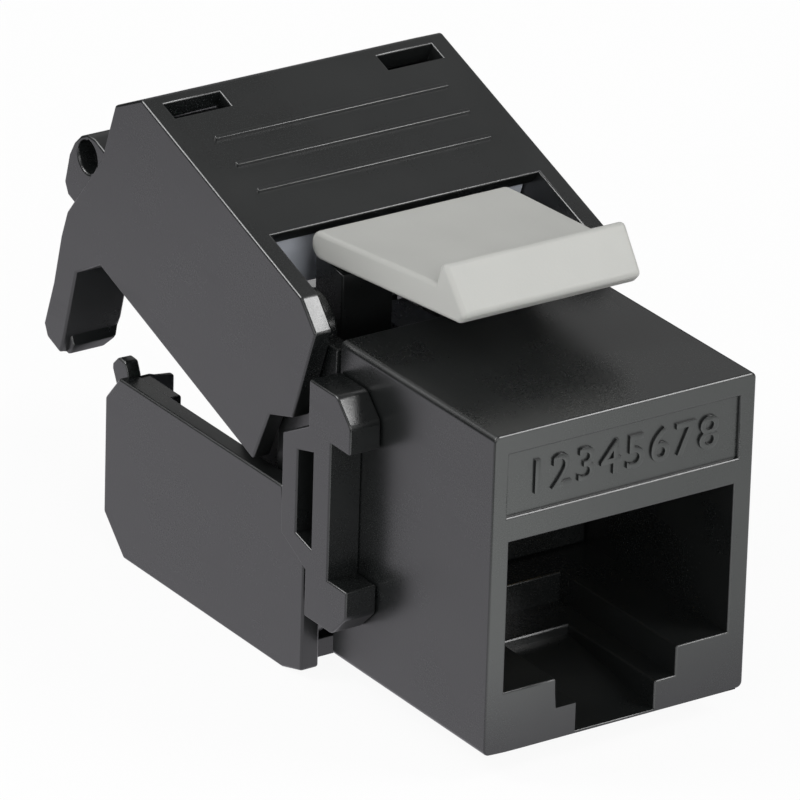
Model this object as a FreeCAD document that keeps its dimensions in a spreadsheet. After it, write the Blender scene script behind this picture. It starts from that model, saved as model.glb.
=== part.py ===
"""Toolless keystone jack: an eight-way socket for a 14.5 x 16 mm panel opening, with a
snap latch on top and two hinged jaws behind that press the cable's wires onto the
cutting contacts.

Frame: millimetres. The origin is the middle of the housing's front face, +X to the right
seen from the front, +Y into the jack towards the cable, +Z up.
"""
import FreeCAD, Part
import math
import os
import re

import Sketcher

Vector = FreeCAD.Vector
doc = FreeCAD.newDocument("keystone_jack")

# ---------------------------------------------------------------- driving dimensions
SIZES = {
    # housing block
    "face_width": 14.5,
    "face_height": 16.0,
    "housing_depth": 12.6,
    "corner_round": 0.3,
    "label_width": 12.8,
    "label_height": 3.1,
    "label_drop": 1.05,
    "label_recess": 0.2,
    # socket for the plug
    "port_width": 12.5,
    "port_height": 7.5,
    "port_top": 2.55,
    "key_width": 6.7,
    "key_drop": 1.5,
    "key_depth": 9.4,
    "notch_width": 4.4,
    "notch_depth": 7.0,
    "notch_sill": 0.1,
    "notch_slope": 1.0,
    "lintel_depth": 2.6,
    "spring_room": 2.1,
    "core_wall": 1.0,
    # how the housing and the rear body lock together
    "lug_back": 10.85,
    "lug_length": 0.9,
    "lug_height": 4.4,
    "lug_proud": 0.45,
    "joint_gap": 0.05,
    # rear body, measured from its mid-plane
    "mid_rise": 0.5,
    "overall_width": 18.0,
    "flange_half": 6.0,
    "flange_back": 12.45,
    "hook_front": 9.0,
    "hook_inner": 3.45,
    "hook_corner": 1.15,
    "hook_round": 0.5,
    "bar_front": 10.6,
    "bulge_back": 14.55,
    "bulge_half": 2.55,
    "bulge_slope": 1.1,
    "slot_front": 12.0,
    "slot_length": 1.3,
    "slot_half": 2.45,
    "slot_taper": 0.35,
    "side_plate": 1.0,
    "plate_back": 17.4,
    "core_half": 5.2,
    "core_back": 22.0,
    "spigot_length": 1.2,
    "groove_lip": 0.5,
    "tail_room": 0.4,
    "overcut": 0.1,
    # hinges of the jaws
    "pivot_back": 15.8,
    "pivot_rise": 7.0,
    "pin_radius": 0.8,
    "pin_clearance": 0.05,
    "boss_radius": 1.7,
    "side_clearance": 0.12,
    "open_angle": 19.5,
    # jaws
    "jaw_width": 17.0,
    "jaw_wall": 1.0,
    "jaw_half": 9.8,
    "jaw_front": 13.3,
    "jaw_step": 14.95,
    "jaw_back": 30.6,
    "jaw_chamfer": 1.8,
    "upper_brow": 0.9,
    "lower_brow": 0.45,
    "heel_run": 0.3,
    "corner_fall": 1.4,
    "corner_run": 1.2,
    "inner_chamfer": 0.4,
    "parting_drop": 0.6,
    "parting_gap": 0.1,
    "latch_wall": 0.8,
    "lip_back": 19.2,
    "lip_slant": 0.4,
    "cable_half": 5.2,
    "cable_floor": 7.4,
    "cable_round": 3.2,
    "cable_bevel": 1.2,
    "shoulder_run": 1.1,
    # latch arms on the upper jaw
    "arm_width": 3.2,
    "arm_thick": 1.75,
    "arm_flare": 1.55,
    "arm_crown": 4.6,
    "arm_waist": 1.4,
    "arm_elbow": 4.1,
    "arm_taper": 0.3,
    "arm_toe": 0.5,
    "toe_run": 1.9,
    "toe_rise": 2.1,
    "arm_drop": 7.15,
    "arm_gap": 0.25,
    "crotch_run": 1.35,
    "crotch_drop": 2.3,
    "crotch_back": 0.32,
    "cheek_skin": 0.3,
    "nose_reach": 0.35,
    "nose_height": 1.0,
    "catch_gap": 0.25,
    "catch_slope": 1.4,
    "ear_low": 0.7,
    "ear_high": 4.9,
    "ear_reach": 2.75,
    "ear_hole": 0.85,
    "ear_back": 1.4,
    "ear_down": 1.25,
    "ear_inset": 0.25,
    "ear_thick": 2.4,
    "lug_top": 0.15,
    "lug_width": 0.75,
    "lug_deep": 1.4,
    "lug_seat": 2.2,
    "lug_neck": 0.75,
    # grip lines and relief notches on the upper jaw
    "grip_front": 22.0,
    "grip_pitch": 1.95,
    "grip_span": 13.1,
    "grip_width": 0.26,
    "grip_proud": 0.16,
    "relief_inner": 4.45,
    "relief_outer": 7.55,
    "relief_front": 28.0,
    "relief_length": 1.05,
    # snap latch
    "latch_pivot_back": 17.3,
    "latch_pivot_rise": 10.05,
    "latch_barrel": 0.7,
    "latch_half": 5.4,
    "latch_taper": 0.5,
    "latch_front": 6.0,
    "latch_nose": 0.5,
    "latch_round": 0.3,
    "latch_sag": 0.2,
    "latch_lift": 0.95,
    "ridge_back": 8.0,
    "ridge_top": 0.4,
    "ridge_foot": 0.3,
    "ridge_proud": 1.0,
    "post_inner": 2.0,
    "post_outer": 4.8,
    "post_wall": 0.45,
    "post_floor": 0.2,
    "post_slope": 0.25,
    "post_cap": 0.1,
    "post_mouth": 0.25,
    # circuit board
    "board_width": 11.8,
    "board_front": 12.9,
    "board_length": 8.8,
    "board_thick": 1.0,
    "solder_room": 0.6,
    "solder_tail": 0.48,
    # contact springs
    "spring_pitch": 1.02,
    "spring_width": 0.45,
    "spring_thick": 0.3,
    "spring_front": 2.4,
    "spring_run": 0.6,
    "spring_tip_back": 10.5,
    "spring_tip_drop": 3.6,
    "spring_bend": 0.4,
    "tail_near": 13.7,
    "tail_far": 15.1,
    "tail_hole": 0.4,
    "fork_hole": 0.45,
    "comb_slot": 0.65,
    "comb_bar": 1.8,
    # wire contacts
    "wire_pitch": 3.2,
    "wire_slot": 1.0,
    "wire_floor": 2.4,
    "fork_width": 2.2,
    "fork_thick": 0.4,
    "fork_top": 4.8,
    "fork_slot": 0.3,
    "fork_mouth": 0.9,
    "mouth_deep": 0.6,
    "tine_fall": 0.5,
    "tine_bevel": 0.2,
    "slot_below": 0.4,
    "fork_upper_back": 19.9,
    "fork_lower_back": 18.3,
    "fork_pin": 0.6,
    # wire guides in the jaws
    "guide_front": 19.95,
    "guide_length": 4.4,
    "guide_floor": 5.4,
    "rib_front": 20.8,
    "rib_length": 1.1,
    "rib_reach": 1.9,
    "rib_width": 0.8,
    "rib_root": 0.2,
    "channel_radius": 0.6,
    "channel_stop": 1.6,
    "stiff_front": 3.8,
    "stiff_back": 0.9,
    "stiff_top": 0.3,
    "stiff_low": 1.5,
    "stiff_thick": 0.9,
}

sheet = doc.addObject("Spreadsheet::Sheet", "sizes")
for row, (alias, size) in enumerate(SIZES.items(), start=1):
    sheet.set(f"A{row}", alias)
    sheet.set(f"B{row}", str(size))
    sheet.setAlias(f"B{row}", alias)
doc.recompute()


# ---------------------------------------------------------------- helpers
def bound(text):
    """An expression in the sheet's words, such as face_width / 2, as FreeCAD reads it."""
    return re.sub(r"[a-z_]{4,}", lambda word: "sizes." + word.group(0), text)


def number(text):
    return float(sheet.evalExpression(bound(text)))


def add_body(name, back="0", rise="0"):
    body = doc.addObject("PartDesign::Body", name)
    body.Label = name
    body.setExpression("Placement.Base.y", bound(back))
    body.setExpression("Placement.Base.z", bound(rise))
    return body


def add_sketch(body, role, offset="0"):
    """A sketch on one of the body's origin planes, moved along that plane's normal."""
    sketch = body.newObject("Sketcher::SketchObject", body.Name + "_sketch")
    plane = next(item for item in body.Origin.OriginFeatures if item.Role == role)
    sketch.AttachmentSupport = [(plane, "")]
    sketch.MapMode = "FlatFace"
    sketch.setExpression("AttachmentOffset.Base.z", bound(offset))
    return sketch


def front_sketch(body, back="0"):
    return add_sketch(body, "XZ_Plane", f"-({back})")


def side_sketch(body, out="0"):
    return add_sketch(body, "YZ_Plane", out)


def top_sketch(body, rise="0"):
    return add_sketch(body, "XY_Plane", rise)


def pin_down(sketch, geometry, position, x, y):
    """Tie one point of a sketch to two expressions."""
    for kind, text in (("DistanceX", x), ("DistanceY", y)):
        rule = Sketcher.Constraint(kind, -1, 1, geometry, position, number(text))
        index = sketch.addConstraint(rule)
        sketch.setExpression(f"Constraints[{index}]", bound(text))


def outline(sketch, points):
    """A closed outline of straight lines through points given as pairs of expressions."""
    places = [Vector(number(x), number(y), 0) for x, y in points]
    first = sketch.GeometryCount
    count = len(points)
    for here, there in zip(places, places[1:] + places[:1]):
        sketch.addGeometry(Part.LineSegment(here, there))
    for step in range(count):
        after = first + (step + 1) % count
        sketch.addConstraint(Sketcher.Constraint("Coincident", first + step, 2, after, 1))
    for step, (x, y) in enumerate(points):
        pin_down(sketch, first + step, 1, x, y)


def rectangle(sketch, x_low, x_high, y_low, y_high):
    outline(sketch, [(x_low, y_low), (x_high, y_low), (x_high, y_high), (x_low, y_high)])


def circle(sketch, x, y, radius):
    centre = Vector(number(x), number(y), 0)
    index = sketch.addGeometry(Part.Circle(centre, Vector(0, 0, 1), number(radius)))
    pin_down(sketch, index, 3, x, y)
    rule = sketch.addConstraint(Sketcher.Constraint("Radius", index, number(radius)))
    sketch.setExpression(f"Constraints[{rule}]", bound(radius))


def extrude(kind, body, sketch, length, flip, symmetric):
    feature = body.newObject("PartDesign::" + kind, body.Name + "_" + kind.lower())
    feature.Profile = sketch
    feature.setExpression("Length", bound(length))
    feature.Reversed = flip
    if symmetric:
        feature.SideType = "Symmetric"
    return feature


def pad(body, sketch, length, flip=False, symmetric=False):
    return extrude("Pad", body, sketch, length, flip, symmetric)


def pocket(body, sketch, length, flip=False, symmetric=False):
    return extrude("Pocket", body, sketch, length, flip, symmetric)


def both_sides(body, features):
    """Repeat features on the other side of the jack's middle plane."""
    mirror = body.newObject("PartDesign::Mirrored", body.Name + "_mirrored")
    plane = next(item for item in body.Origin.OriginFeatures if item.Role == "YZ_Plane")
    mirror.Originals = features
    mirror.MirrorPlane = (plane, [""])
    body.Tip = mirror
    return mirror


def row_of(body, feature, role, pitch, count):
    """Repeat a feature along one of the body's origin axes, count times at a pitch."""
    row = body.newObject("PartDesign::LinearPattern", body.Name + "_row")
    axis = next(item for item in body.Origin.OriginFeatures if item.Role == role)
    row.Originals = [feature]
    row.Direction = (axis, [""])
    row.Occurrences = count
    row.setExpression("Length", f"{bound(pitch)} * {count - 1}")
    body.Tip = row
    return row


def round_edges(body, radius, wanted):
    """Fillet the edges of the body's present shape that the test picks out."""
    doc.recompute()
    base = body.Tip
    names = [f"Edge{index}" for index, edge in enumerate(base.Shape.Edges, start=1)
             if wanted(edge)]
    fillet = body.newObject("PartDesign::Fillet", body.Name + "_fillet")
    fillet.Base = (base, names)
    fillet.setExpression("Radius", bound(radius))
    return fillet


def along(edge, axis):
    """Is the edge straight and parallel to this axis?"""
    ends = edge.Vertexes
    if edge.Curve.TypeId != "Part::GeomLine" or len(ends) < 2:
        return False
    return abs((ends[1].Point - ends[0].Point).normalize().dot(axis)) > 0.999


def middle(edge):
    return edge.CenterOfMass


X_AXIS, Y_AXIS = Vector(1, 0, 0), Vector(0, 1, 0)
NUDGE = 0.01


# ---------------------------------------------------------------- housing and its inserts
def make_housing():
    """The front block with the plug socket, open behind for the springs and the carrier."""
    body = add_body("front_housing")
    block = front_sketch(body)
    rectangle(block, "-face_width/2", "face_width/2", "-face_height/2", "face_height/2")
    pad(body, block, "housing_depth", flip=True)
    round_edges(body, "corner_round", lambda edge: along(edge, Y_AXIS))

    label = front_sketch(body)
    label_top = "face_height/2 - label_drop"
    rectangle(label, "-label_width/2", "label_width/2", f"{label_top} - label_height", label_top)
    pocket(body, label, "label_recess")

    port = front_sketch(body)
    shelf = "port_top - port_height"
    rectangle(port, "-port_width/2", "port_width/2", shelf, "port_top")
    pocket(body, port, "housing_depth")
    key = front_sketch(body)
    rectangle(key, "-key_width/2", "key_width/2", f"{shelf} - key_drop", f"{shelf} + overcut")
    pocket(body, key, "key_depth")
    notch = side_sketch(body)
    notch_top = f"{shelf} - key_drop + overcut"
    sill = "-face_height/2 + notch_sill"
    outline(notch, [("-overcut", sill), ("notch_depth", f"{sill} + notch_slope"),
                    ("notch_depth", notch_top), ("-overcut", notch_top)])
    pocket(body, notch, "notch_width", symmetric=True)

    room = front_sketch(body, "lintel_depth")
    room_top = "port_top + spring_room"
    rectangle(room, "-port_width/2", "port_width/2", "port_top - overcut", room_top)
    pocket(body, room, "housing_depth")
    core = front_sketch(body, "lintel_depth")
    rectangle(core, "-port_width/2 + core_wall", "port_width/2 - core_wall",
              f"{room_top} + core_wall", "face_height/2 - core_wall")
    pocket(body, core, "housing_depth")

    lug = side_sketch(body, "face_width/2")
    rectangle(lug, "lug_back", "lug_back + lug_length",
              "mid_rise - lug_height/2", "mid_rise + lug_height/2")
    both_sides(body, [pad(body, lug, "lug_proud")])
    return body


def make_carrier():
    """The comb that holds the eight springs apart under the housing's roof."""
    body = add_body("contact_carrier")
    front = "lintel_depth + joint_gap"
    roof = "port_top + spring_room - joint_gap"
    shoulder = "port_top + spring_run + spring_thick + joint_gap"
    plate = front_sketch(body, front)
    rectangle(plate, "-port_width/2 + joint_gap", "port_width/2 - joint_gap", shoulder, roof)
    pad(body, plate, f"housing_depth - ({front})", flip=True)
    bar = front_sketch(body, front)
    rectangle(bar, "-port_width/2 + joint_gap", "port_width/2 - joint_gap", "port_top", roof)
    pad(body, bar, "comb_bar", flip=True)
    slot = front_sketch(body, front)
    first = "-3.5 * spring_pitch"
    rectangle(slot, f"{first} - comb_slot/2", f"{first} + comb_slot/2",
              "port_top - overcut", shoulder)
    row_of(body, pocket(body, slot, "housing_depth"), "X_Axis", "spring_pitch", 8)
    return body


def rounded_path(points, radius):
    """Straight runs through the points, joined by tangent arcs."""
    edges = []
    start = points[0]
    for before, corner, after in zip(points, points[1:], points[2:]):
        arriving = (corner - before).normalize()
        leaving = (after - corner).normalize()
        turn = arriving.getAngle(leaving)
        reach = radius * math.tan(turn / 2)
        arc_start = corner - arriving * reach
        arc_end = corner + leaving * reach
        inward = (leaving - arriving).normalize()
        arc_middle = corner + inward * radius * (1 / math.cos(turn / 2) - 1)
        edges.append(Part.LineSegment(start, arc_start).toShape())
        edges.append(Part.Arc(arc_start, arc_middle, arc_end).toShape())
        start = arc_end
    edges.append(Part.LineSegment(start, points[-1]).toShape())
    return Part.Wire(edges)


def make_spring(index):
    """A flat gold-plated spring: up from the board, forward, and back down into the port."""
    board_middle = number("mid_rise")
    run = number("port_top + spring_run + spring_thick/2")
    width, thick = number("spring_width"), number("spring_thick")
    tail = number("tail_near" if index % 2 else "tail_far")
    foot = board_middle - number("board_thick/2 + solder_tail")
    front = number("spring_front")
    route = rounded_path([
        Vector(0, tail, foot),
        Vector(0, tail, run),
        Vector(0, front, run),
        Vector(0, number("spring_tip_back"), run - number("spring_tip_drop")),
    ], number("spring_bend"))
    section = Part.makePolygon([
        Vector(-width / 2, tail - thick / 2, foot), Vector(width / 2, tail - thick / 2, foot),
        Vector(width / 2, tail + thick / 2, foot), Vector(-width / 2, tail + thick / 2, foot),
        Vector(-width / 2, tail - thick / 2, foot),
    ])
    spring = doc.addObject("Part::Feature", f"contact_spring_{index}")
    spring.Shape = route.makePipeShell([section], True, True)
    spring.Label = spring.Name
    spring.Placement = FreeCAD.Placement(
        Vector(number(f"({index} - 4.5) * spring_pitch"), 0, 0), FreeCAD.Rotation())
    return spring


def make_board():
    """The circuit board that links the springs to the wire contacts."""
    body = add_body("circuit_board", rise="mid_rise")
    plate = top_sketch(body, "-board_thick/2")
    rectangle(plate, "-board_width/2", "board_width/2", "board_front", "board_front + board_length")
    for index in range(1, 9):
        tail = "tail_near" if index % 2 else "tail_far"
        circle(plate, f"({index} - 4.5) * spring_pitch", tail, "tail_hole")
    for back in ("fork_upper_back", "fork_lower_back"):
        for place in range(4):
            circle(plate, f"({place} - 1.5) * wire_pitch", back, "fork_hole")
    pad(body, plate, "board_thick")
    return body


def make_fork(index):
    """A forked contact whose two tines cut into one wire; four stand up, four hang down."""
    upper = index <= 4
    side = 1 if upper else -1
    place = (index - 1) % 4
    back = "fork_upper_back" if upper else "fork_lower_back"
    body = add_body(f"wire_contact_{index}", rise="mid_rise")
    profile = front_sketch(body, f"{back} - fork_thick/2")
    centre = f"({place} - 1.5) * wire_pitch"
    foot = "board_thick/2 + joint_gap"
    half = [
        ("fork_pin/2", "-board_thick/2 - solder_tail"),
        ("fork_pin/2", foot),
        ("fork_width/2", foot),
        ("fork_width/2", "fork_top - tine_fall"),
        ("fork_width/2 - tine_bevel", "fork_top"),
        ("fork_mouth/2", "fork_top"),
        ("fork_slot/2", "fork_top - mouth_deep"),
        ("fork_slot/2", "wire_floor - slot_below"),
    ]
    right = [(f"{centre} + {x}", f"{side} * ({z})") for x, z in half]
    left = [(f"{centre} - ({x})", f"{side} * ({z})") for x, z in reversed(half)]
    outline(profile, right + left)
    pad(body, profile, "fork_thick", flip=True)
    return body


# ---------------------------------------------------------------- rear body
def flange_outline():
    """The C-shaped side flange, open to the front, the same above and below its middle."""
    upper = [
        ("bulge_back", "bulge_half"),
        ("flange_back", "bulge_half + bulge_slope"),
        ("flange_back", "flange_half"),
        ("hook_front + hook_corner", "flange_half"),
        ("hook_front", "flange_half - hook_corner"),
        ("hook_front", "hook_inner"),
        ("bar_front", "hook_inner"),
    ]
    lower = [(y, f"-({z})") for y, z in reversed(upper)]
    return upper + lower


def make_rear_body():
    """The rear body: side flanges, hinge plates, latch posts and the slotted contact block."""
    body = add_body("rear_body", rise="mid_rise")
    front = "housing_depth + joint_gap"
    plate_out = "jaw_width/2 - jaw_wall - side_clearance"
    plate_in = f"{plate_out} - side_plate"

    # slotted block between the hinge plates
    block = side_sketch(body)
    rectangle(block, front, "core_back", "-core_half", "core_half")
    pad(body, block, f"2 * ({plate_in})", symmetric=True)

    # hinge plates with a round boss at each pivot, and the flanges outside them
    plate = side_sketch(body, plate_in)
    rectangle(plate, front, "plate_back", "-pivot_rise", "pivot_rise")
    plates = [pad(body, plate, "side_plate")]
    for side in ("", "-"):
        boss = side_sketch(body, plate_in)
        circle(boss, "pivot_back", f"{side}pivot_rise", "boss_radius")
        plates.append(pad(body, boss, "side_plate"))
    flange = side_sketch(body, "face_width/2 + joint_gap")
    outline(flange, flange_outline())
    plates.append(pad(body, flange, "(overall_width - face_width)/2 - joint_gap"))
    both_sides(body, plates)
    round_edges(body, "hook_round", is_hook_corner)

    for side in ("", "-"):
        hole = side_sketch(body)
        circle(hole, "pivot_back", f"{side}pivot_rise", "pin_radius + pin_clearance")
        pocket(body, hole, "overall_width", symmetric=True)
    slot = side_sketch(body)
    outline(slot, [
        ("slot_front", "-slot_half"), ("slot_front + slot_length", "slot_taper - slot_half"),
        ("slot_front + slot_length", "slot_half - slot_taper"), ("slot_front", "slot_half"),
    ])
    pocket(body, slot, "overall_width", symmetric=True)

    # pockets in the flanges for the housing's lugs
    lug = side_sketch(body)
    rectangle(lug, "lug_back - joint_gap", "lug_back + lug_length + joint_gap",
              "-lug_height/2 - joint_gap", "lug_height/2 + joint_gap")
    pocket(body, lug, "face_width + 2 * lug_proud + 2 * joint_gap", symmetric=True)

    # the spigot closes the port from behind
    spigot = front_sketch(body, f"{front} - spigot_length")
    rectangle(spigot, "-port_width/2 + joint_gap", "port_width/2 - joint_gap",
              "port_top - port_height + joint_gap - mid_rise", "port_top - mid_rise - joint_gap")
    pad(body, spigot, "spigot_length", flip=True)

    # room for the spring tails, and the groove that the board slides into from behind
    tails = front_sketch(body, "housing_depth")
    reach = "4 * spring_pitch + tail_room"
    rectangle(tails, f"-({reach})", reach, "0",
              "port_top + spring_run + spring_thick + tail_room/2 - mid_rise")
    pocket(body, tails, "tail_far + 1.5 * tail_room - housing_depth")
    groove = front_sketch(body, "board_front - joint_gap")
    edge, inner = "board_width/2 + joint_gap", "board_width/2 - groove_lip"
    thin, relief = "board_thick/2 + joint_gap/2", "board_thick/2 + solder_room"
    outline(groove, [
        (edge, f"-({thin})"), (edge, thin), (inner, thin), (inner, relief),
        (f"-({inner})", relief), (f"-({inner})", thin), (f"-({edge})", thin),
        (f"-({edge})", f"-({thin})"), (f"-({inner})", f"-({thin})"),
        (f"-({inner})", f"-({relief})"), (inner, f"-({relief})"), (inner, f"-({thin})"),
    ])
    pocket(body, groove, "core_back")

    # wire slots along the block, and a seat across each for its forked contact
    for side, back in (("", "fork_upper_back"), ("-", "fork_lower_back")):
        wires = front_sketch(body, "tail_far + wire_slot")
        seats = top_sketch(body)
        for place in range(4):
            centre = f"({place} - 1.5) * wire_pitch"
            rectangle(wires, f"{centre} - wire_slot/2", f"{centre} + wire_slot/2",
                      f"{side}wire_floor", f"{side}(core_half + overcut)")
            rectangle(seats, f"{centre} - fork_width/2 - joint_gap",
                      f"{centre} + fork_width/2 + joint_gap",
                      f"{back} - fork_thick/2 - joint_gap", f"{back} + fork_thick/2 + joint_gap")
        pocket(body, wires, "core_back")
        pocket(body, seats, "core_half + overcut", flip=not side)

    # two posts with a round seat each for the latch's barrel
    post = side_sketch(body, "post_inner")
    seat_back = "latch_pivot_back + latch_barrel + post_wall"
    seat_front = "latch_pivot_back - latch_barrel - post_wall"
    mouth, cap = "latch_pivot_back + post_mouth", "latch_pivot_rise + post_cap"
    floor = "latch_pivot_rise - latch_barrel - post_floor"
    outline(post, [
        (seat_front, "core_half - overcut"), (seat_back, "core_half - overcut"),
        (seat_back, cap), (mouth, cap), (mouth, floor), (seat_front, f"{floor} - post_slope"),
    ])
    both_sides(body, [pad(body, post, "post_outer - post_inner")])
    seat = side_sketch(body)
    circle(seat, "latch_pivot_back", "latch_pivot_rise", "latch_barrel + pin_clearance")
    pocket(body, seat, "2 * latch_half", symmetric=True)
    return body


def is_hook_corner(edge):
    """The outer corners at the two tips of a flange."""
    spot = middle(edge)
    return (along(edge, X_AXIS) and spot.y < number("hook_front + hook_corner") + NUDGE
            and abs(spot.z) > number("flange_half - hook_corner") - NUDGE)


# ---------------------------------------------------------------- jaws, about their hinge
def jaw_point(side, back, height):
    """A point of the closed jaw, measured from its hinge; side is 1 above and -1 below."""
    return (f"{back} - pivot_back", f"{side} * ({height} - pivot_rise)")


def jaw_outline(side, rear, parting):
    """The side view of a closed jaw; parting is the height of its open edge."""
    corners = [
        ("jaw_step", "jaw_half"),
        (f"{rear} - jaw_chamfer", "jaw_half"),
        (rear, "jaw_half - jaw_chamfer"),
        (rear, f"({parting}) + corner_fall" if side < 0 else parting),
        (f"{rear} - corner_run", parting),
        ("jaw_step + heel_run", parting),
        ("jaw_step", "bulge_half"),
        ("jaw_front", "bulge_half + bulge_slope + parting_gap"),
        ("jaw_front", "jaw_half - lower_brow" if side < 0 else "jaw_half - upper_brow"),
    ]
    return [jaw_point(side, back, height) for back, height in corners]


def start_jaw(name, side):
    return add_body(name, back="pivot_back", rise=f"mid_rise + {side} * pivot_rise")


def add_hinge_pins(body):
    """Two pins inside the cheeks that turn in the rear body's plates."""
    inner = "jaw_width/2 - jaw_wall"
    reach = "side_clearance + side_plate + overcut"
    pin = side_sketch(body, f"{inner} - ({reach})")
    circle(pin, "0", "0", "pin_radius")
    both_sides(body, [pad(body, pin, f"{reach} + overcut")])


def tilt_open(body):
    body.Placement = FreeCAD.Placement(body.Placement.Base, FreeCAD.Rotation(X_AXIS, 10))
    body.setExpression("Placement.Rotation.Angle", bound("open_angle"))


def make_upper_jaw():
    """The upper jaw, a tray open below, with the latch's window and two latch arms."""
    side = 1
    body = start_jaw("upper_jaw", side)
    rear = "jaw_back + latch_wall"
    parting = "-parting_drop + parting_gap"
    shell = side_sketch(body)
    outline(shell, jaw_outline(side, rear, parting))
    pad(body, shell, "jaw_width", symmetric=True)

    hollow = side_sketch(body)
    ceiling, behind = "jaw_half - jaw_wall", f"{rear} - jaw_wall"
    corners = [
        ("jaw_front - 1", f"{parting} - 1"), ("jaw_front - 1", "jaw_half + 1"),
        ("lip_back", "jaw_half + 1"), ("lip_back", "jaw_half"),
        ("lip_back + lip_slant", ceiling), (f"{behind} - jaw_chamfer + inner_chamfer", ceiling),
        (behind, "jaw_half - jaw_chamfer - inner_chamfer"), (behind, f"{parting} - 1"),
    ]
    outline(hollow, [jaw_point(side, back, height) for back, height in corners])
    pocket(body, hollow, "jaw_width - 2 * jaw_wall", symmetric=True)
    add_latch_arms(body, rear, parting)
    add_ears(body, rear)

    # notches that let the lower jaw's corner lugs in, behind a thin skin of the cheek
    notch = side_sketch(body, "jaw_width/2 - cheek_skin - lug_width - 1.5 * overcut")
    front, top = "jaw_back - lug_deep - 1.5 * overcut", "lug_top + 1.5 * overcut"
    inside = "jaw_back + arm_gap"
    corners = [(front, top), (inside, top), (inside, "-lug_seat"), (front, "-lug_seat")]
    outline(notch, [jaw_point(side, back, height) for back, height in corners])
    both_sides(body, [pocket(body, notch, "lug_width + 1.5 * overcut", flip=True)])

    # half-round way in for the cable, and relief notches at the top of the rear wall
    cable = front_sketch(body, f"{behind} - pivot_back - inner_chamfer")
    circle(cable, "0", f"{parting} - pivot_rise", "cable_round")
    pocket(body, cable, "2 * jaw_wall")
    relief = top_sketch(body, "jaw_half - pivot_rise + 1")
    rectangle(relief, "relief_inner", "relief_outer", "relief_front - pivot_back",
              "relief_front + relief_length - pivot_back")
    both_sides(body, [pocket(body, relief, "jaw_wall + 1.5")])

    # three fine grip lines across the top
    grip = top_sketch(body, "jaw_half - pivot_rise")
    rectangle(grip, "-grip_span/2", "grip_span/2", "grip_front - pivot_back",
              "grip_front + grip_width - pivot_back")
    row_of(body, pad(body, grip, "grip_proud"), "Y_Axis", "grip_pitch", 3)
    add_hinge_pins(body)
    tilt_open(body)
    return body


def add_latch_arms(body, rear, parting):
    """Two arms down the outside of the rear wall, each with a nose that faces forward."""
    side = 1
    inside, toe = "jaw_back + arm_gap", "-arm_drop + arm_toe"
    root = f"{rear} - crotch_back"
    arm = side_sketch(body)
    corners = [
        (rear, "arm_crown"), (f"{rear} + arm_flare", "overcut"),
        (f"{rear} + arm_flare", "-arm_waist"), (f"{rear} + arm_flare - arm_taper", "-arm_elbow"),
        (f"{inside} + arm_thick", toe), (f"{inside} + arm_thick - arm_toe", "-arm_drop"),
        (inside, "-arm_drop"), (inside, "nose_height - arm_drop"),
        (f"{inside} + crotch_back", "-crotch_drop"), (f"{inside} - crotch_run", parting),
        (root, f"{parting} + arm_toe"), (root, "arm_crown"),
    ]
    outline(arm, [jaw_point(side, back, height) for back, height in corners])
    pad(body, arm, "jaw_width", symmetric=True)
    nose = side_sketch(body, "jaw_width/2 - arm_width")
    tip = f"{inside} - nose_reach"
    corners = [
        (f"{inside} + overcut", "-arm_drop"), (f"{tip} + nose_reach/2", "-arm_drop"),
        (tip, "nose_reach/2 - arm_drop"), (tip, "nose_height - nose_reach - arm_drop"),
        (f"{inside} + overcut", "nose_height + overcut - arm_drop"),
    ]
    outline(nose, [jaw_point(side, back, height) for back, height in corners])
    both_sides(body, [pad(body, nose, "arm_width - cheek_skin - overcut")])

    between = side_sketch(body)
    front, low = "jaw_back - 2 * corner_run", "-2 * arm_drop"
    corners = [
        (rear, "6"), (f"{rear} + 2 * ear_reach", "6"), (f"{rear} + 2 * ear_reach", low),
        (front, low), (front, parting), (rear, parting),
    ]
    outline(between, [jaw_point(side, back, height) for back, height in corners])
    pocket(body, between, "jaw_width - 2 * arm_width", symmetric=True)

    # the lower inner corner of each arm is rounded off
    corner = front_sketch(body, "jaw_back - corner_run - pivot_back")
    inner, bottom = "jaw_width/2 - arm_width - overcut", "-arm_drop - overcut - pivot_rise"
    bends = [math.radians(90 / 4 * step) for step in range(5)]
    curve = [(f"{inner} + toe_run * {1 - math.sin(bend):.4f}",
              f"{bottom} + toe_rise * {1 - math.cos(bend):.4f}") for bend in bends]
    outline(corner, [(inner, bottom)] + curve)
    both_sides(body, [pocket(body, corner, "2 * arm_thick + arm_flare")])


def add_ears(body, rear):
    """A rounded ear behind each cheek with a hole through it, to tie the cable down."""
    side = 1
    back, root = f"{rear} + ear_reach", f"{rear} - crotch_back"
    ear = side_sketch(body, "jaw_width/2 - ear_inset - ear_thick")
    corners = [
        (root, "ear_low"), (f"{back} - 0.6", "ear_low"), (f"{back} - 0.15", "ear_low + 0.4"),
        (back, "ear_high - 2.2"), (f"{back} - 0.15", "ear_high - 1.4"),
        (f"{back} - 0.5", "ear_high - 0.7"), (f"{back} - 1", "ear_high - 0.2"),
        (f"{back} - 1.6", "ear_high"), (root, "ear_high"),
    ]
    outline(ear, [jaw_point(side, y, z) for y, z in corners])
    both_sides(body, [pad(body, ear, "ear_thick")])
    eye = side_sketch(body, "jaw_width/2 - ear_inset")
    circle(eye, *jaw_point(side, f"{back} - ear_back", "ear_high - ear_down"), "ear_hole")
    both_sides(body, [pocket(body, eye, "ear_thick")])


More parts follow.
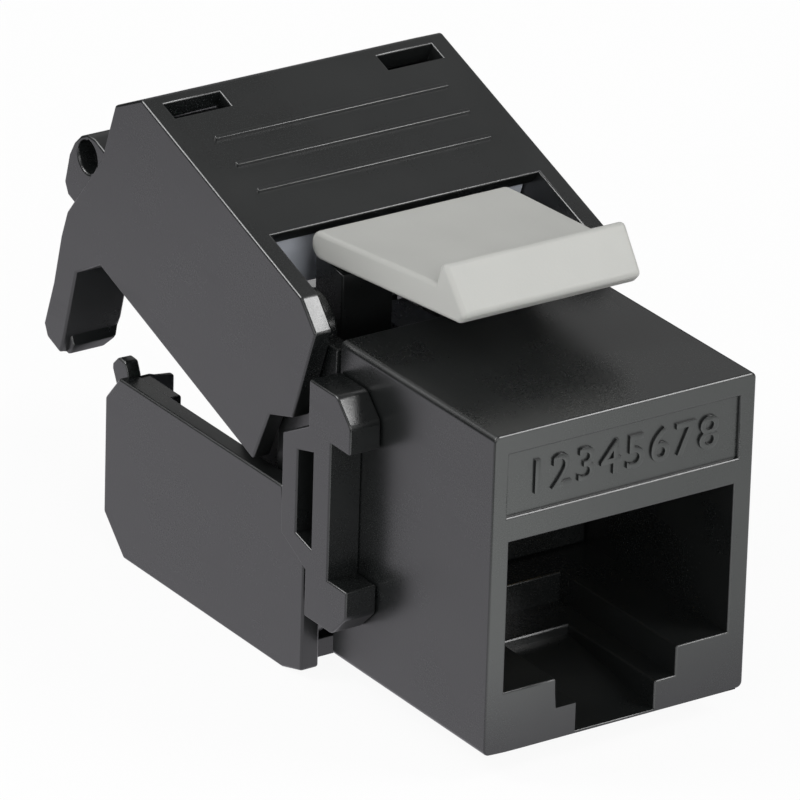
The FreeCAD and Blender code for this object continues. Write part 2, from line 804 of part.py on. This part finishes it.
def make_lower_jaw():
    """The lower jaw, a tray open above, closed, with catch pockets for the latch arms."""
    side = -1
    body = start_jaw("lower_jaw", side)
    parting = "parting_drop"
    shell = side_sketch(body)
    outline(shell, jaw_outline(side, "jaw_back", parting))
    pad(body, shell, "jaw_width", symmetric=True)

    hollow = side_sketch(body)
    floor, behind = "jaw_half - jaw_wall", "jaw_back - jaw_wall"
    corners = [
        ("jaw_front - 1", f"{parting} - 1"), ("jaw_front - 1", "jaw_half + 1"),
        ("jaw_step", "jaw_half + 1"), ("jaw_step", floor),
        (f"{behind} - jaw_chamfer + inner_chamfer", floor),
        (behind, "jaw_half - jaw_chamfer - inner_chamfer"), (behind, f"{parting} - 1"),
    ]
    outline(hollow, [jaw_point(side, back, height) for back, height in corners])
    pocket(body, hollow, "jaw_width - 2 * jaw_wall", symmetric=True)

    # way in for the cable, with sloping shoulders
    cable = front_sketch(body, f"{behind} - pivot_back - inner_chamfer")
    shoulder, top = "cable_half + 2 * shoulder_run", f"{parting} - 1"
    half = [
        (shoulder, top), (shoulder, f"{parting} - overcut"),
        ("cable_half + shoulder_run", f"{parting} + 4 * overcut"),
        ("cable_half", f"{parting} + 6 * overcut"), ("cable_half", "cable_floor - cable_bevel"),
        ("cable_half - cable_bevel", "cable_floor"),
    ]
    right = [(x, f"-({z} - pivot_rise)") for x, z in half]
    left = [(f"-({x})", f"-({z} - pivot_rise)") for x, z in reversed(half)]
    outline(cable, right + left)
    pocket(body, cable, "2 * jaw_wall")

    # catch pockets for the arms' noses, open to the rear with a sloping roof
    catch = side_sketch(body, "jaw_width/2 - arm_width - 2 * overcut")
    tip = "jaw_back + arm_gap - nose_reach - catch_gap"
    low, roof = "arm_drop + catch_gap", "arm_drop - nose_height - 2 * overcut"
    corners = [
        (tip, low), ("jaw_back + 1", low), ("jaw_back + 1", f"{roof} - catch_slope"), (tip, roof),
    ]
    outline(catch, [jaw_point(side, back, height) for back, height in corners])
    both_sides(body, [pocket(body, catch, "arm_width + 2 * overcut - cheek_skin", flip=True)])

    # hooked lugs at the two rear corners, and ribs inside the cheeks
    lug = side_sketch(body, "jaw_width/2 - cheek_skin - overcut - lug_width")
    corners = [
        ("jaw_back - lug_deep", f"{parting} + 2"),
        ("jaw_back - lug_deep", f"{parting} - joint_gap"),
        ("jaw_back - lug_deep + arm_taper", "-lug_top + joint_gap"),
        ("jaw_back - 5 * overcut", "-lug_top"),
        ("jaw_back", "-lug_top + 5 * overcut"), ("jaw_back", "-lug_top + lug_neck"),
        ("jaw_back - 4 * overcut", f"{parting} + 8 * overcut"),
        ("jaw_back", f"{parting} + corner_fall"), ("jaw_back", f"{parting} + 2"),
    ]
    outline(lug, [jaw_point(side, back, height) for back, height in corners])
    both_sides(body, [pad(body, lug, "lug_width")])
    rib = side_sketch(body, "jaw_width/2 - jaw_wall - stiff_thick")
    rectangle(rib, "jaw_back - stiff_front - pivot_back", "jaw_back - stiff_back - pivot_back",
              f"-({parting} + stiff_low - pivot_rise)", f"-({parting} + stiff_top - pivot_rise)")
    both_sides(body, [pad(body, rib, "stiff_thick + overcut")])
    add_hinge_pins(body)
    return body


def make_guide(name, side):
    """The pale comb in a jaw that lays four wires over the contacts and pushes them home."""
    body = start_jaw(name, side)
    block = side_sketch(body)
    back = "guide_front + guide_length"
    seat = "jaw_half - jaw_wall - joint_gap"
    corners = [("guide_front", "guide_floor"), (back, "guide_floor"),
               (back, seat), ("guide_front", seat)]
    outline(block, [jaw_point(side, y, z) for y, z in corners])
    width = "jaw_width - 2 * jaw_wall - 2 * joint_gap"
    pad(body, block, width, symmetric=True)
    for place in range(4):
        centre = f"({place} - 1.5) * wire_pitch"
        rib = side_sketch(body, f"{centre} - rib_width/2")
        root, tip, end = "guide_floor + rib_root", "guide_floor - rib_reach", "rib_front + rib_length"
        corners = [("rib_front", root), (end, root), (end, tip), ("rib_front", tip)]
        outline(rib, [jaw_point(side, y, z) for y, z in corners])
        pad(body, rib, "rib_width")
    channels = front_sketch(body, f"{back} - channel_stop - pivot_back")
    for place in range(4):
        circle(channels, f"({place} - 1.5) * wire_pitch", f"{side} * (guide_floor - pivot_rise)",
               "channel_radius")
    pocket(body, channels, "guide_length")
    if side > 0:
        tilt_open(body)
    return body


def make_latch():
    """The pale snap latch: a sprung plate, round at its pivot, with a raised lip in front."""
    body = add_body("snap_latch", back="latch_pivot_back", rise="mid_rise + latch_pivot_rise")
    barrel = side_sketch(body)
    circle(barrel, "0", "0", "latch_barrel")
    pad(body, barrel, "2 * latch_half", symmetric=True)
    plate = side_sketch(body)
    front, ridge = "latch_front - latch_pivot_back", "ridge_back - latch_pivot_back"
    low = "latch_lift - latch_barrel - latch_sag"
    top = "latch_lift + latch_barrel + ridge_proud"
    corners = [
        ("0", "-latch_barrel"), (f"{front} + latch_nose", low), (front, f"{low} + latch_nose"),
        (f"{ridge} - ridge_top", top), (ridge, f"{top} - ridge_top/2"),
        (f"{ridge} + ridge_foot", "latch_lift * 0.8 + latch_barrel"), ("0", "latch_barrel"),
    ]
    outline(plate, corners)
    pad(body, plate, "2 * latch_half", symmetric=True)
    flank = top_sketch(body)
    outline(flank, [
        ("latch_half", "-latch_barrel"), ("latch_half + 1", "-latch_barrel"),
        ("latch_half + 1", f"{front} - 1"), ("latch_half - latch_taper", f"{front} - 1"),
    ])
    both_sides(body, [pocket(body, flank, "overall_width", symmetric=True)])
    round_edges(body, "latch_round", is_lip_edge)
    return body


def is_lip_edge(edge):
    """The edges across the latch's lip, in front of the foot of its ridge."""
    return along(edge, X_AXIS) and middle(edge).y < number("ridge_back - latch_pivot_back") + NUDGE


# ---------------------------------------------------------------- build, check, write
pieces = [make_housing(), make_carrier(), make_board(), make_rear_body()]
pieces += [make_spring(index) for index in range(1, 9)]
pieces += [make_fork(index) for index in range(1, 9)]
pieces += [make_upper_jaw(), make_lower_jaw(), make_latch()]
pieces += [make_guide("upper_wire_guide", 1), make_guide("lower_wire_guide", -1)]
doc.recompute()

for item in doc.Objects:
    if "Invalid" in item.State or "Error" in item.State:
        raise RuntimeError(f"{item.Name} did not build: {item.State}")

os.makedirs("parts", exist_ok=True)
for piece in pieces:
    shape = piece.Shape
    if shape.isNull() or not shape.isValid() or shape.Volume <= 0:
        raise RuntimeError(f"{piece.Label} has no valid solid")
    shape.exportStep(f"parts/{piece.Label}.step")
    box = shape.BoundBox
    print(f"{piece.Label}: {len(shape.Solids)} solid, {shape.Volume:.2f} mm3, "
          f"X {box.XMin:.2f}..{box.XMax:.2f} Y {box.YMin:.2f}..{box.YMax:.2f} "
          f"Z {box.ZMin:.2f}..{box.ZMax:.2f}")
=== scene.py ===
import bmesh
import bpy
import math
from mathutils import Matrix, Vector


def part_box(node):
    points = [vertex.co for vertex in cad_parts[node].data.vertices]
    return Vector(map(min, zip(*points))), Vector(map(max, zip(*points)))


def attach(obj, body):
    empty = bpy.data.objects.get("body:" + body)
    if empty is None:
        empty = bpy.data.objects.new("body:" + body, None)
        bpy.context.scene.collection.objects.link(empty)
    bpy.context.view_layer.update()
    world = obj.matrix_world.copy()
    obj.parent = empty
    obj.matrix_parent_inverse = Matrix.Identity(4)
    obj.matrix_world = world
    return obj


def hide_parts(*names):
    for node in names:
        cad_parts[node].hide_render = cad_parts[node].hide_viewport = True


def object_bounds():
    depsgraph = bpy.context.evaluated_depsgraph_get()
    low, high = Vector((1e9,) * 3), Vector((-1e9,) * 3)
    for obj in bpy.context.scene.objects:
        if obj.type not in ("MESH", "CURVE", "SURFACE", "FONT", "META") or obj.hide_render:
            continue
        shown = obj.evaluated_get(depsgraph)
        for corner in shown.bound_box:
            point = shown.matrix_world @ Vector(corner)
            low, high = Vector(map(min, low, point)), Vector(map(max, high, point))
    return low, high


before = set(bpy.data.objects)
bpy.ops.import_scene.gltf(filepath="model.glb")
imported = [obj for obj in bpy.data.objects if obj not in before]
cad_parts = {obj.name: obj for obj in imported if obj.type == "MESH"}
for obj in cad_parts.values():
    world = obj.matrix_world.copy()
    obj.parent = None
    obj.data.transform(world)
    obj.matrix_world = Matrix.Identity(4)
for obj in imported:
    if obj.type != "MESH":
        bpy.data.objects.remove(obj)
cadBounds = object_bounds()
scene = bpy.context.scene
mm = 0.001
print("frame loaded:", len(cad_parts), "nodes")


class Link:
    # a socket, or a whole tree, that new nodes can be hung on
    def __init__(self, tree, socket=None):
        self.tree, self.socket = tree, socket

    def node(self, kind, settings=None, sockets=None, out=0):
        made = self.tree.nodes.new(kind)
        for name, value in (settings or {}).items():
            setattr(made, name, value)
        for name, value in (sockets or {}).items():
            if isinstance(value, Link):
                self.tree.links.new(value.socket, made.inputs[name])
            else:
                made.inputs[name].default_value = value
        return Link(self.tree, made.outputs[out] if len(made.outputs) else None)

    def maths(self, operation, first, second):
        return self.node("ShaderNodeMath", {"operation": operation}, {0: first, 1: second})

    def __add__(self, other):
        return self.maths("ADD", self, other)

    def __sub__(self, other):
        return self.maths("SUBTRACT", self, other)

    def __mul__(self, other):
        return self.maths("MULTIPLY", self, other)

    def __rsub__(self, other):
        return self.maths("SUBTRACT", other, self)

    __radd__ = __add__
    __rmul__ = __mul__

    def clipped(self, low, high):
        # 0 up to low, 1 from high on, and a straight slope between
        return self.node("ShaderNodeMapRange", {"clamp": True}, {0: self, 1: low, 2: high})

    def noise(self, scale, detail, stretch=(1, 1, 1), offset=0.0):
        spot = self.node("ShaderNodeTexCoord", out="Object")
        moved = self.node("ShaderNodeMapping", {}, {
            "Vector": spot, "Location": (offset, offset, offset), "Scale": stretch})
        return self.node("ShaderNodeTexNoise", {}, {"Vector": moved, "Scale": scale, "Detail": detail})

    def blend(self, factor, first, second):
        first, second = (side if isinstance(side, Link) else (*side, 1) for side in (first, second))
        return self.node("ShaderNodeMix", {"data_type": "RGBA"}, {0: factor, 6: first, 7: second}, out=2)


def newMaterial(name):
    material = bpy.data.materials.new(name)
    material.use_nodes = True
    material.node_tree.nodes.clear()
    return material, Link(material.node_tree)


def finishMaterial(tree, surface):
    tree.node("ShaderNodeOutputMaterial", {}, {"Surface": surface})


# finishes: the tones and the gloss of each plastic and metal
blackLook = {"dark": (0.006, 0.007, 0.007), "light": (0.011, 0.012, 0.012), "roughness": 0.29,
             "gloss": 1.64, "grain": 9000, "cloud": 170, "grainDepth": 0.005 * mm}
greyLook = {"dark": (0.45, 0.453, 0.432), "light": (0.49, 0.493, 0.47), "roughness": 0.45,
            "gloss": 1.3, "grain": 8000, "cloud": 140, "grainDepth": 0.006 * mm}
paleLook = {"dark": (0.66, 0.70, 0.78), "light": (0.76, 0.79, 0.86), "roughness": 0.45,
            "gloss": 1.5, "grain": 8000, "cloud": 200, "grainDepth": 0.008 * mm}
moulding = {"flow": 420, "flowStretch": (1, 0.18, 1), "rub": 1500, "rubStretch": (1, 0.08, 0.6),
            "rubBand": (0.62, 0.78), "toneBand": (0.35, 0.68), "bump": 0.5}
goldLook = {"dark": (0.83, 0.56, 0.22), "light": (0.95, 0.70, 0.33), "roughness": 0.22}
tinLook = {"dark": (0.62, 0.60, 0.56), "light": (0.78, 0.77, 0.74), "roughness": 0.3}
plating = {"lines": 5200, "stretch": (1, 0.06, 1), "cloud": 700, "depth": 0.004 * mm, "bump": 0.25}
boardLook = {"lacquer": (0.008, 0.085, 0.028), "track": (0.03, 0.19, 0.06), "roughness": 0.24,
             "tracks": 310, "trackBand": (0.62, 0.7), "bend": 2.5, "weave": 2600,
             "trackDepth": 0.02 * mm, "bump": 0.6}


def mouldedPlastic(name, look):
    # fine spark texture, slow tone drift, faint flow lines and rub marks drawn out along Y
    material, tree = newMaterial(name)
    grain = tree.noise(look["grain"], 1.5)
    cloud = tree.noise(look["cloud"], 3)
    flow = tree.noise(moulding["flow"], 2, moulding["flowStretch"], 0.3)
    rub = tree.noise(moulding["rub"], 4, moulding["rubStretch"], 0.7).clipped(*moulding["rubBand"])
    tone = (cloud * 0.65 + flow * 0.35).clipped(*moulding["toneBand"])
    colour = tree.blend(tone, look["dark"], look["light"])
    rough = look["roughness"] + (cloud - 0.5) * 0.16 + (grain - 0.5) * 0.08 + rub * 0.06
    bump = tree.node("ShaderNodeBump", {}, {"Strength": moulding["bump"], "Distance": look["grainDepth"],
                                           "Height": grain + flow * 0.8 + rub * 0.3})
    shader = tree.node("ShaderNodeBsdfPrincipled", {}, {
        "Base Color": colour, "Roughness": rough, "Normal": bump, "IOR": look["gloss"]})
    finishMaterial(tree, shader)
    return material


def platedMetal(name, look):
    # fine drawing lines along Y and a slow change of tone
    material, tree = newMaterial(name)
    drawn = tree.noise(plating["lines"], 3, plating["stretch"])
    cloud = tree.noise(plating["cloud"], 2)
    colour = tree.blend(cloud.clipped(0.3, 0.7), look["dark"], look["light"])
    bump = tree.node("ShaderNodeBump", {}, {"Strength": plating["bump"], "Distance": plating["depth"],
                                           "Height": drawn})
    shader = tree.node("ShaderNodeBsdfPrincipled", {}, {
        "Base Color": colour, "Metallic": 1.0, "Roughness": look["roughness"] + (drawn - 0.5) * 0.16,
        "Normal": bump})
    finishMaterial(tree, shader)
    return material


def solderMask(name, look):
    # green lacquer over copper tracks that run along the board
    material, tree = newMaterial(name)
    spot = tree.node("ShaderNodeTexCoord", out="Object")
    swirl = tree.noise(300, 1)
    wave = tree.node("ShaderNodeTexWave", {"wave_type": "BANDS", "bands_direction": "X"},
                     {"Vector": spot, "Scale": look["tracks"], "Distortion": look["bend"],
                      "Detail": 0, "Detail Scale": 0.4})
    track = wave.clipped(*look["trackBand"])
    weave = tree.noise(look["weave"], 1, (1, 1, 0.2))
    colour = tree.blend(track * 0.8 + swirl * 0.1, look["lacquer"], look["track"])
    bump = tree.node("ShaderNodeBump", {}, {"Strength": look["bump"], "Distance": look["trackDepth"],
                                           "Height": track + weave * 0.15})
    shader = tree.node("ShaderNodeBsdfPrincipled", {}, {
        "Base Color": colour, "Roughness": look["roughness"] + weave * 0.12, "Normal": bump})
    finishMaterial(tree, shader)
    return material


finishes = {
    "black_plastic": mouldedPlastic("satinBlack", blackLook),
    "grey_plastic": mouldedPlastic("satinGrey", greyLook),
    "pale_plastic": mouldedPlastic("milkyWhite", paleLook),
    "board": solderMask("solderMask", boardLook),
    "gold_contact": platedMetal("goldPlate", goldLook),
    "wire_contact_metal": platedMetal("tinPlate", tinLook),
}
print("finishes made")


# dressing a frame node: a merged copy, with its edges eased and its shading smooth
merging = {"weld": 0.0008 * mm, "flat": math.radians(0.4)}


def joinCoplanar(form):
    bmesh.ops.remove_doubles(form, verts=form.verts, dist=merging["weld"])
    bmesh.ops.dissolve_degenerate(form, edges=form.edges, dist=merging["weld"])
    flat = [edge for edge in form.edges if len(edge.link_faces) == 2
            and edge.calc_face_angle(math.pi) < merging["flat"]]
    bmesh.ops.beautify_fill(form, faces=form.faces, edges=flat, method="ANGLE")
    bmesh.ops.dissolve_limit(form, angle_limit=merging["flat"], verts=form.verts, edges=form.edges)


easing = {
    "rounds": ((1.0, 24), (0.4, 34)),  # share of the wanted bevel, least angle of its edges in degrees
    "sortings": 40, "retries": 6,
    "usable": 0.9,  # part of an edge's length that the bevels at its two ends may take
    "endSpare": 0.1, "level": 0.8,  # how far two edges of a face overlap and line up to be side by side
    "besideBevel": 2.1, "besidePlain": 1.1,  # least gap between them, in bevel widths
    "clearOfTear": 1.6,  # edges nearer to a folded corner than this, in bevel widths, stay sharp
    "tear": 0.004 * mm * mm,  # twice the smallest folded area that counts
}


def shortOfRoom(form, chosen, width):
    # edges that the bevels meeting at their two ends would use up
    used = {}
    for face in form.faces:
        for loop in face.loops:
            ahead, behind = loop.edge, loop.link_loop_prev.edge
            if ahead not in chosen and behind not in chosen:
                continue
            angle = min(max(loop.calc_angle(), 0.05), math.pi - 0.01)
            if ahead in chosen and behind in chosen:
                mitre = width / math.tan(angle / 2) if loop.is_convex else 0.0
                trims = (mitre, mitre)
            else:
                slide = width / math.sin(angle) if angle < 2.8 else 0.0
                trims = (0.0 if ahead in chosen else slide, 0.0 if behind in chosen else slide)
            for edge, trim in zip((ahead, behind), trims):
                used[edge, face] = used.get((edge, face), 0.0) + trim
    return {edge for (edge, face), trim in used.items() if trim > easing["usable"] * edge.calc_length()}


def besideStrips(form, chosen, width):
    # edges of faces too narrow to carry their bevels side by side
    tight = set()
    for face in form.faces:
        for first in face.edges:
            if first not in chosen:
                continue
            start, length = first.verts[0].co, first.calc_length()
            along = (first.verts[1].co - start) / length
            for second in face.edges:
                ends = [vert.co - start for vert in second.verts]
                reach = sorted(end.dot(along) for end in ends)
                middle = (ends[0] + ends[1]) / 2
                gap = (middle - along * middle.dot(along)).length
                spare = easing["endSpare"] * min(length, second.calc_length())
                level = reach[1] - reach[0] > easing["level"] * second.calc_length()
                beside = level and reach[1] > spare and reach[0] < length - spare
                room = width * easing["besideBevel" if second in chosen else "besidePlain"]
                if second != first and beside and 0 < gap < room:
                    shorter = second in chosen and second.calc_length() < length
                    tight.add(second if shorter else first)
    return tight


def nearEdge(edge, spot):
    start, end = (vert.co for vert in edge.verts)
    along = min(max((spot - start).dot(end - start) / (end - start).length_squared, 0), 1)
    return (start.lerp(end, along) - spot).length


def tornSpots(form):
    # corners of triangles that a bevel has folded over
    form.normal_update()
    spots = []
    for corners in form.calc_loop_triangles():
        first, second, third = (corner.vert.co for corner in corners)
        across = (second - first).cross(third - first)
        if across.length > easing["tear"] and across.normalized().dot(corners[0].face.normal) < 0.5:
            spots += [first.copy(), second.copy(), third.copy()]
    return spots


def easeEdges(form, width, segments):
    # bevel each sharp outer edge that has room for it, and the cramped ones more finely
    for share, leastAngle in easing["rounds"]:
        reach = width * share
        chosen = {edge for edge in form.edges if len(edge.link_faces) == 2 and edge.is_convex
                  and edge.calc_face_angle(0) > math.radians(leastAngle)}
        for attempt in range(easing["sortings"]):
            short = shortOfRoom(form, chosen, reach)
            drop = (short | besideStrips(form, chosen, reach)) & chosen
            for edge in short - chosen:
                faces = set(edge.link_faces)
                drop |= {side for vert in edge.verts for side in vert.link_edges
                         if side in chosen and faces & set(side.link_faces)}
            if not drop:
                break
            chosen -= drop
        form.edges.index_update()
        for attempt in range(easing["retries"]):
            trial = form.copy()
            trial.edges.ensure_lookup_table()
            bmesh.ops.bevel(trial, geom=[trial.edges[edge.index] for edge in chosen], offset=reach,
                            offset_type="OFFSET", segments=segments, profile=0.5, affect="EDGES",
                            clamp_overlap=False, material=-1)
            torn = tornSpots(trial)
            if not torn:
                break
            near = easing["clearOfTear"] * reach
            chosen -= {edge for edge in chosen for spot in torn if nearEdge(edge, spot) < near}
        form.free()
        form = trial
    return form


shading = {"sharp": math.radians(38), "flatWeight": 80}


def placePiece(name, form, body, slotName):
    mesh = bpy.data.meshes.new(name)
    for face in form.faces:
        face.smooth = True
    for edge in form.edges:
        edge.smooth = not (len(edge.link_faces) == 2 and edge.calc_face_angle(0) > shading["sharp"])
    form.to_mesh(mesh)
    form.free()
    piece = bpy.data.objects.new(name, mesh)
    scene.collection.objects.link(piece)
    mesh.materials.append(finishes[slotName])
    weighted = piece.modifiers.new("flatFaces", "WEIGHTED_NORMAL")
    weighted.keep_sharp = True
    weighted.weight = shading["flatWeight"]
    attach(piece, body)
    return piece


dressing = {
    "front_housing": {"ease": 0.12, "segments": 3, "body": "housing", "slot": "black_plastic"},
    "rear_body": {"ease": 0.10, "segments": 3, "body": "housing", "slot": "black_plastic"},
    "contact_carrier": {"ease": 0.04, "segments": 1, "body": "housing", "slot": "black_plastic"},
    "circuit_board": {"ease": 0, "segments": 1, "body": "housing", "slot": "board"},
    "upper_jaw": {"ease": 0.13, "segments": 3, "body": "upper_jaw", "slot": "black_plastic"},
    "lower_jaw": {"ease": 0.13, "segments": 3, "body": "lower_jaw", "slot": "black_plastic"},
    "upper_wire_guide": {"ease": 0.08, "segments": 2, "body": "upper_jaw", "slot": "pale_plastic"},
    "lower_wire_guide": {"ease": 0.08, "segments": 2, "body": "lower_jaw", "slot": "pale_plastic"},
    "snap_latch": {"ease": 0.24, "segments": 4, "body": "latch", "slot": "grey_plastic"},
}
contacts = {
    "contact_spring": {"ease": 0.04, "segments": 1, "body": "housing", "slot": "gold_contact"},
    "wire_contact": {"ease": 0.03, "segments": 1, "body": "housing", "slot": "wire_contact_metal"},
}


def dressNode(node, dress):
    form = bmesh.new()
    form.from_mesh(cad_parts[node].data)
    joinCoplanar(form)
    if dress["ease"]:
        form = easeEdges(form, dress["ease"] * mm, dress["segments"])
    piece = placePiece(node + "_dressed", form, dress["body"], dress["slot"])
    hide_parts(node)
    return len(piece.data.polygons)


for node, dress in dressing.items():
    print("dressed", node, dressNode(node, dress), "faces")
for number in range(1, 9):
    for kind, dress in contacts.items():
        dressNode(f"{kind}_{number}", dress)
print("contacts dressed")


# plain numerals on the label panel, one for each of the eight ways
numerals = {"height": 1.75, "sizeToHeight": 1.35, "proud": 0.10, "sink": 0.05, "pitch": 1.36,
            "back": 0.2, "rise": 5.4, "ease": 0.03, "weld": 0.0005}


def addNumerals():
    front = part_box("front_housing")[0].y
    for place in range(8):
        curve = bpy.data.curves.new(f"numeralCurve{place + 1}", "FONT")
        curve.body = str(place + 1)
        curve.align_x, curve.align_y = "CENTER", "CENTER"
        curve.size = numerals["height"] * numerals["sizeToHeight"] * mm
        curve.extrude = (numerals["proud"] + numerals["sink"]) / 2 * mm
        curve.bevel_depth = numerals["ease"] * mm
        curve.bevel_resolution = 1
        curve.resolution_u = 6
        source = bpy.data.objects.new("numeralSource", curve)
        scene.collection.objects.link(source)
        bpy.context.view_layer.update()
        mesh = bpy.data.meshes.new_from_object(source.evaluated_get(bpy.context.evaluated_depsgraph_get()))
        bpy.data.objects.remove(source)
        form = bmesh.new()
        form.from_mesh(mesh)
        bmesh.ops.remove_doubles(form, verts=form.verts, dist=numerals["weld"] * mm)
        out = front + (numerals["back"] - (numerals["proud"] - numerals["sink"]) / 2) * mm
        across = (place - 3.5) * numerals["pitch"] * mm
        bmesh.ops.transform(form, verts=form.verts, matrix=Matrix.Translation(
            (across, out, numerals["rise"] * mm)) @ Matrix.Rotation(math.radians(90), 4, "X"))
        placePiece(f"numeral_{place + 1}", form, "housing", "black_plastic")


addNumerals()
print("numerals set")


# shiny faces see the front level ahead of the jack and the back level under and behind it, less bright
# to the right, far out on the front left and far away; a band runs from a change's start to its end,
# in metres, except that awaySquared is of the squared distance
floorLight = {
    "reach": 1.6, "below": 0.02, "tone": (0.93, 0.93, 0.93), "glow": 0.93,
    "front": 1.92, "frontTint": (0.97, 1.0, 0.985), "ahead": (0.001, 0.010),
    "back": 0.84, "backTint": (0.99, 0.965, 1.03),
    "rightFall": 0.7, "skew": 0.727, "right": (-0.007, 0.0),
    "edgeFall": 0.9, "cornerLeft": (0.009, 0.030), "cornerAhead": (0.002, 0.020),
    "awaySquared": (0.0045, 0.022),
}


def makeFloor():
    form = bmesh.new()
    bmesh.ops.create_grid(form, x_segments=1, y_segments=1, size=floorLight["reach"])
    bmesh.ops.translate(form, verts=form.verts, vec=(0, 0, cadBounds[0][2] - floorLight["below"] * mm))
    mesh = bpy.data.meshes.new("floor")
    form.to_mesh(mesh)
    form.free()
    floor = bpy.data.objects.new("floor", mesh)
    scene.collection.objects.link(floor)
    material, tree = newMaterial("paleFloor")
    camera, glossy, through = (tree.node("ShaderNodeLightPath", out=f"Is {kind} Ray")
                               for kind in ("Camera", "Glossy", "Transmission"))
    spot = tree.node("ShaderNodeTexCoord", out="Object")
    across, depth = (tree.node("ShaderNodeSeparateXYZ", {}, {"Vector": spot}, out=axis) for axis in "XY")
    ahead = (depth * -1).clipped(*floorLight["ahead"])
    right = (across + depth * floorLight["skew"]).clipped(*floorLight["right"])
    corner = (across * -1).clipped(*floorLight["cornerLeft"])
    corner = corner * (depth * -1).clipped(*floorLight["cornerAhead"])
    away = (across * across + depth * depth).clipped(*floorLight["awaySquared"])
    pool = floorLight["back"] + (floorLight["front"] - floorLight["back"]) * ahead
    pool = pool - ahead * right * floorLight["rightFall"]
    pool = pool * (1 - corner * floorLight["edgeFall"]) * (1 - away * floorLight["edgeFall"])
    tint = tree.blend(ahead, floorLight["backTint"], floorLight["frontTint"])
    matt = tree.node("ShaderNodeBsdfDiffuse", {}, {"Color": (*floorLight["tone"], 1)})
    glow = tree.node("ShaderNodeEmission", {}, {
        "Color": tree.blend(camera, tint, (1, 1, 1)), "Strength": camera + (1 - camera) * pool})
    share = camera * floorLight["glow"] + (glossy + through).clipped(0, 1)
    finishMaterial(tree, tree.node("ShaderNodeMixShader", {}, {0: share, 1: matt, 2: glow}))
    mesh.materials.append(material)


# what shiny faces see around the jack: a soft dome overhead and two bright rims, one ahead on the right
# and one high behind on the left; bands are parts of a direction, from -1 to 1
worldLight = {
    "ambient": 0.36, "gloom": 0.02,
    "dome": 0.42, "domeHeight": (0.15, 0.38), "thinning": 0.35, "thinHeight": (0.5, 0.8),
    "frontRim": 5.6, "frontDepth": (0.2, 0.4), "frontHeight": (0.10, 0.25),
    "frontAside": (0.3, 0.42), "frontEnd": (0.64, 0.76),
    "leftRim": 4.5, "leftAside": (0.12, 0.35), "leftHeight": (0.60, 0.74), "leftDepth": (0.05, 0.2),
}


def makeWorld():
    world = bpy.data.worlds.new("studio")
    scene.world = world
    world.use_nodes = True
    world.node_tree.nodes.clear()
    tree = Link(world.node_tree)
    camera, glossy = (tree.node("ShaderNodeLightPath", out=f"Is {kind} Ray")
                      for kind in ("Camera", "Glossy"))
    aim = tree.node("ShaderNodeTexCoord", out="Generated")
    across, depth, height = (tree.node("ShaderNodeSeparateXYZ", {}, {"Vector": aim}, out=axis)
                             for axis in "XYZ")
    thin = height.clipped(*worldLight["thinHeight"]) * worldLight["thinning"]
    dome = height.clipped(*worldLight["domeHeight"]) * (1 - thin) * worldLight["dome"]
    ahead = (depth * -1).clipped(*worldLight["frontDepth"]) * height.clipped(*worldLight["frontHeight"])
    span = across.clipped(*worldLight["frontAside"]) * (1 - across.clipped(*worldLight["frontEnd"]))
    frontRim = ahead * span * worldLight["frontRim"]
    aside = (across * -1).clipped(*worldLight["leftAside"]) * height.clipped(*worldLight["leftHeight"])
    leftRim = aside * depth.clipped(*worldLight["leftDepth"]) * worldLight["leftRim"]
    mirrored = worldLight["gloom"] + dome + frontRim + leftRim
    level = worldLight["ambient"] * (1 - glossy) + mirrored * glossy
    strength = camera + (1 - camera) * level
    shade = tree.node("ShaderNodeBackground", {}, {"Color": (1, 1, 1, 1), "Strength": strength})
    tree.node("ShaderNodeOutputWorld", {}, {"Surface": shade})


lamps = {
    "leftPanel": {"place": (-0.52, -0.26, 0.20), "size": 0.34, "power": 0.80},
    "frontPanel": {"place": (-0.10, -0.56, 0.24), "size": 0.34, "power": 1.2},
    "leftRim": {"place": (-0.36, 0.22, 0.40), "size": 0.20, "power": 1.1},
    "rightRim": {"place": (0.32, -0.27, 0.42), "size": 0.20, "power": 1.1},
}
lampAim = Vector((0, 0.016, 0.002))


def makeLamp(name, lamp):
    data = bpy.data.lights.new(name, "AREA")
    data.shape, data.size, data.energy = "SQUARE", lamp["size"], lamp["power"]
    holder = bpy.data.objects.new(name, data)
    holder.location = lamp["place"]
    holder.rotation_mode = "QUATERNION"
    holder.rotation_quaternion = (lampAim - Vector(lamp["place"])).to_track_quat("-Z", "Y")
    scene.collection.objects.link(holder)


viewpoint = {"place": (-0.22702, -0.31172, 0.18045), "yaw": 34.536, "pitch": 24.114, "roll": 1.7045,
             "lens": 419.73, "sensor": 36.0, "near": 0.01, "far": 10}


def makeCamera():
    data = bpy.data.cameras.new("studioCamera")
    data.sensor_width, data.lens = viewpoint["sensor"], viewpoint["lens"]
    data.clip_start, data.clip_end = viewpoint["near"], viewpoint["far"]
    camera = bpy.data.objects.new("studioCamera", data)
    scene.collection.objects.link(camera)
    yaw, pitch, roll = (math.radians(viewpoint[key]) for key in ("yaw", "pitch", "roll"))
    ahead = Vector((math.sin(yaw) * math.cos(pitch), math.cos(yaw) * math.cos(pitch), -math.sin(pitch)))
    right = Vector((math.cos(yaw), -math.sin(yaw), 0))
    up = right.cross(ahead)
    across = right * math.cos(roll) + up * math.sin(roll)
    upward = up * math.cos(roll) - right * math.sin(roll)
    turn = Matrix((across, upward, -ahead)).transposed().to_4x4()
    camera.matrix_world = Matrix.Translation(viewpoint["place"]) @ turn
    scene.camera = camera


makeFloor()
makeWorld()
for name, lamp in lamps.items():
    makeLamp(name, lamp)
makeCamera()
scene.view_settings.view_transform = "Standard"
print("stage lit")
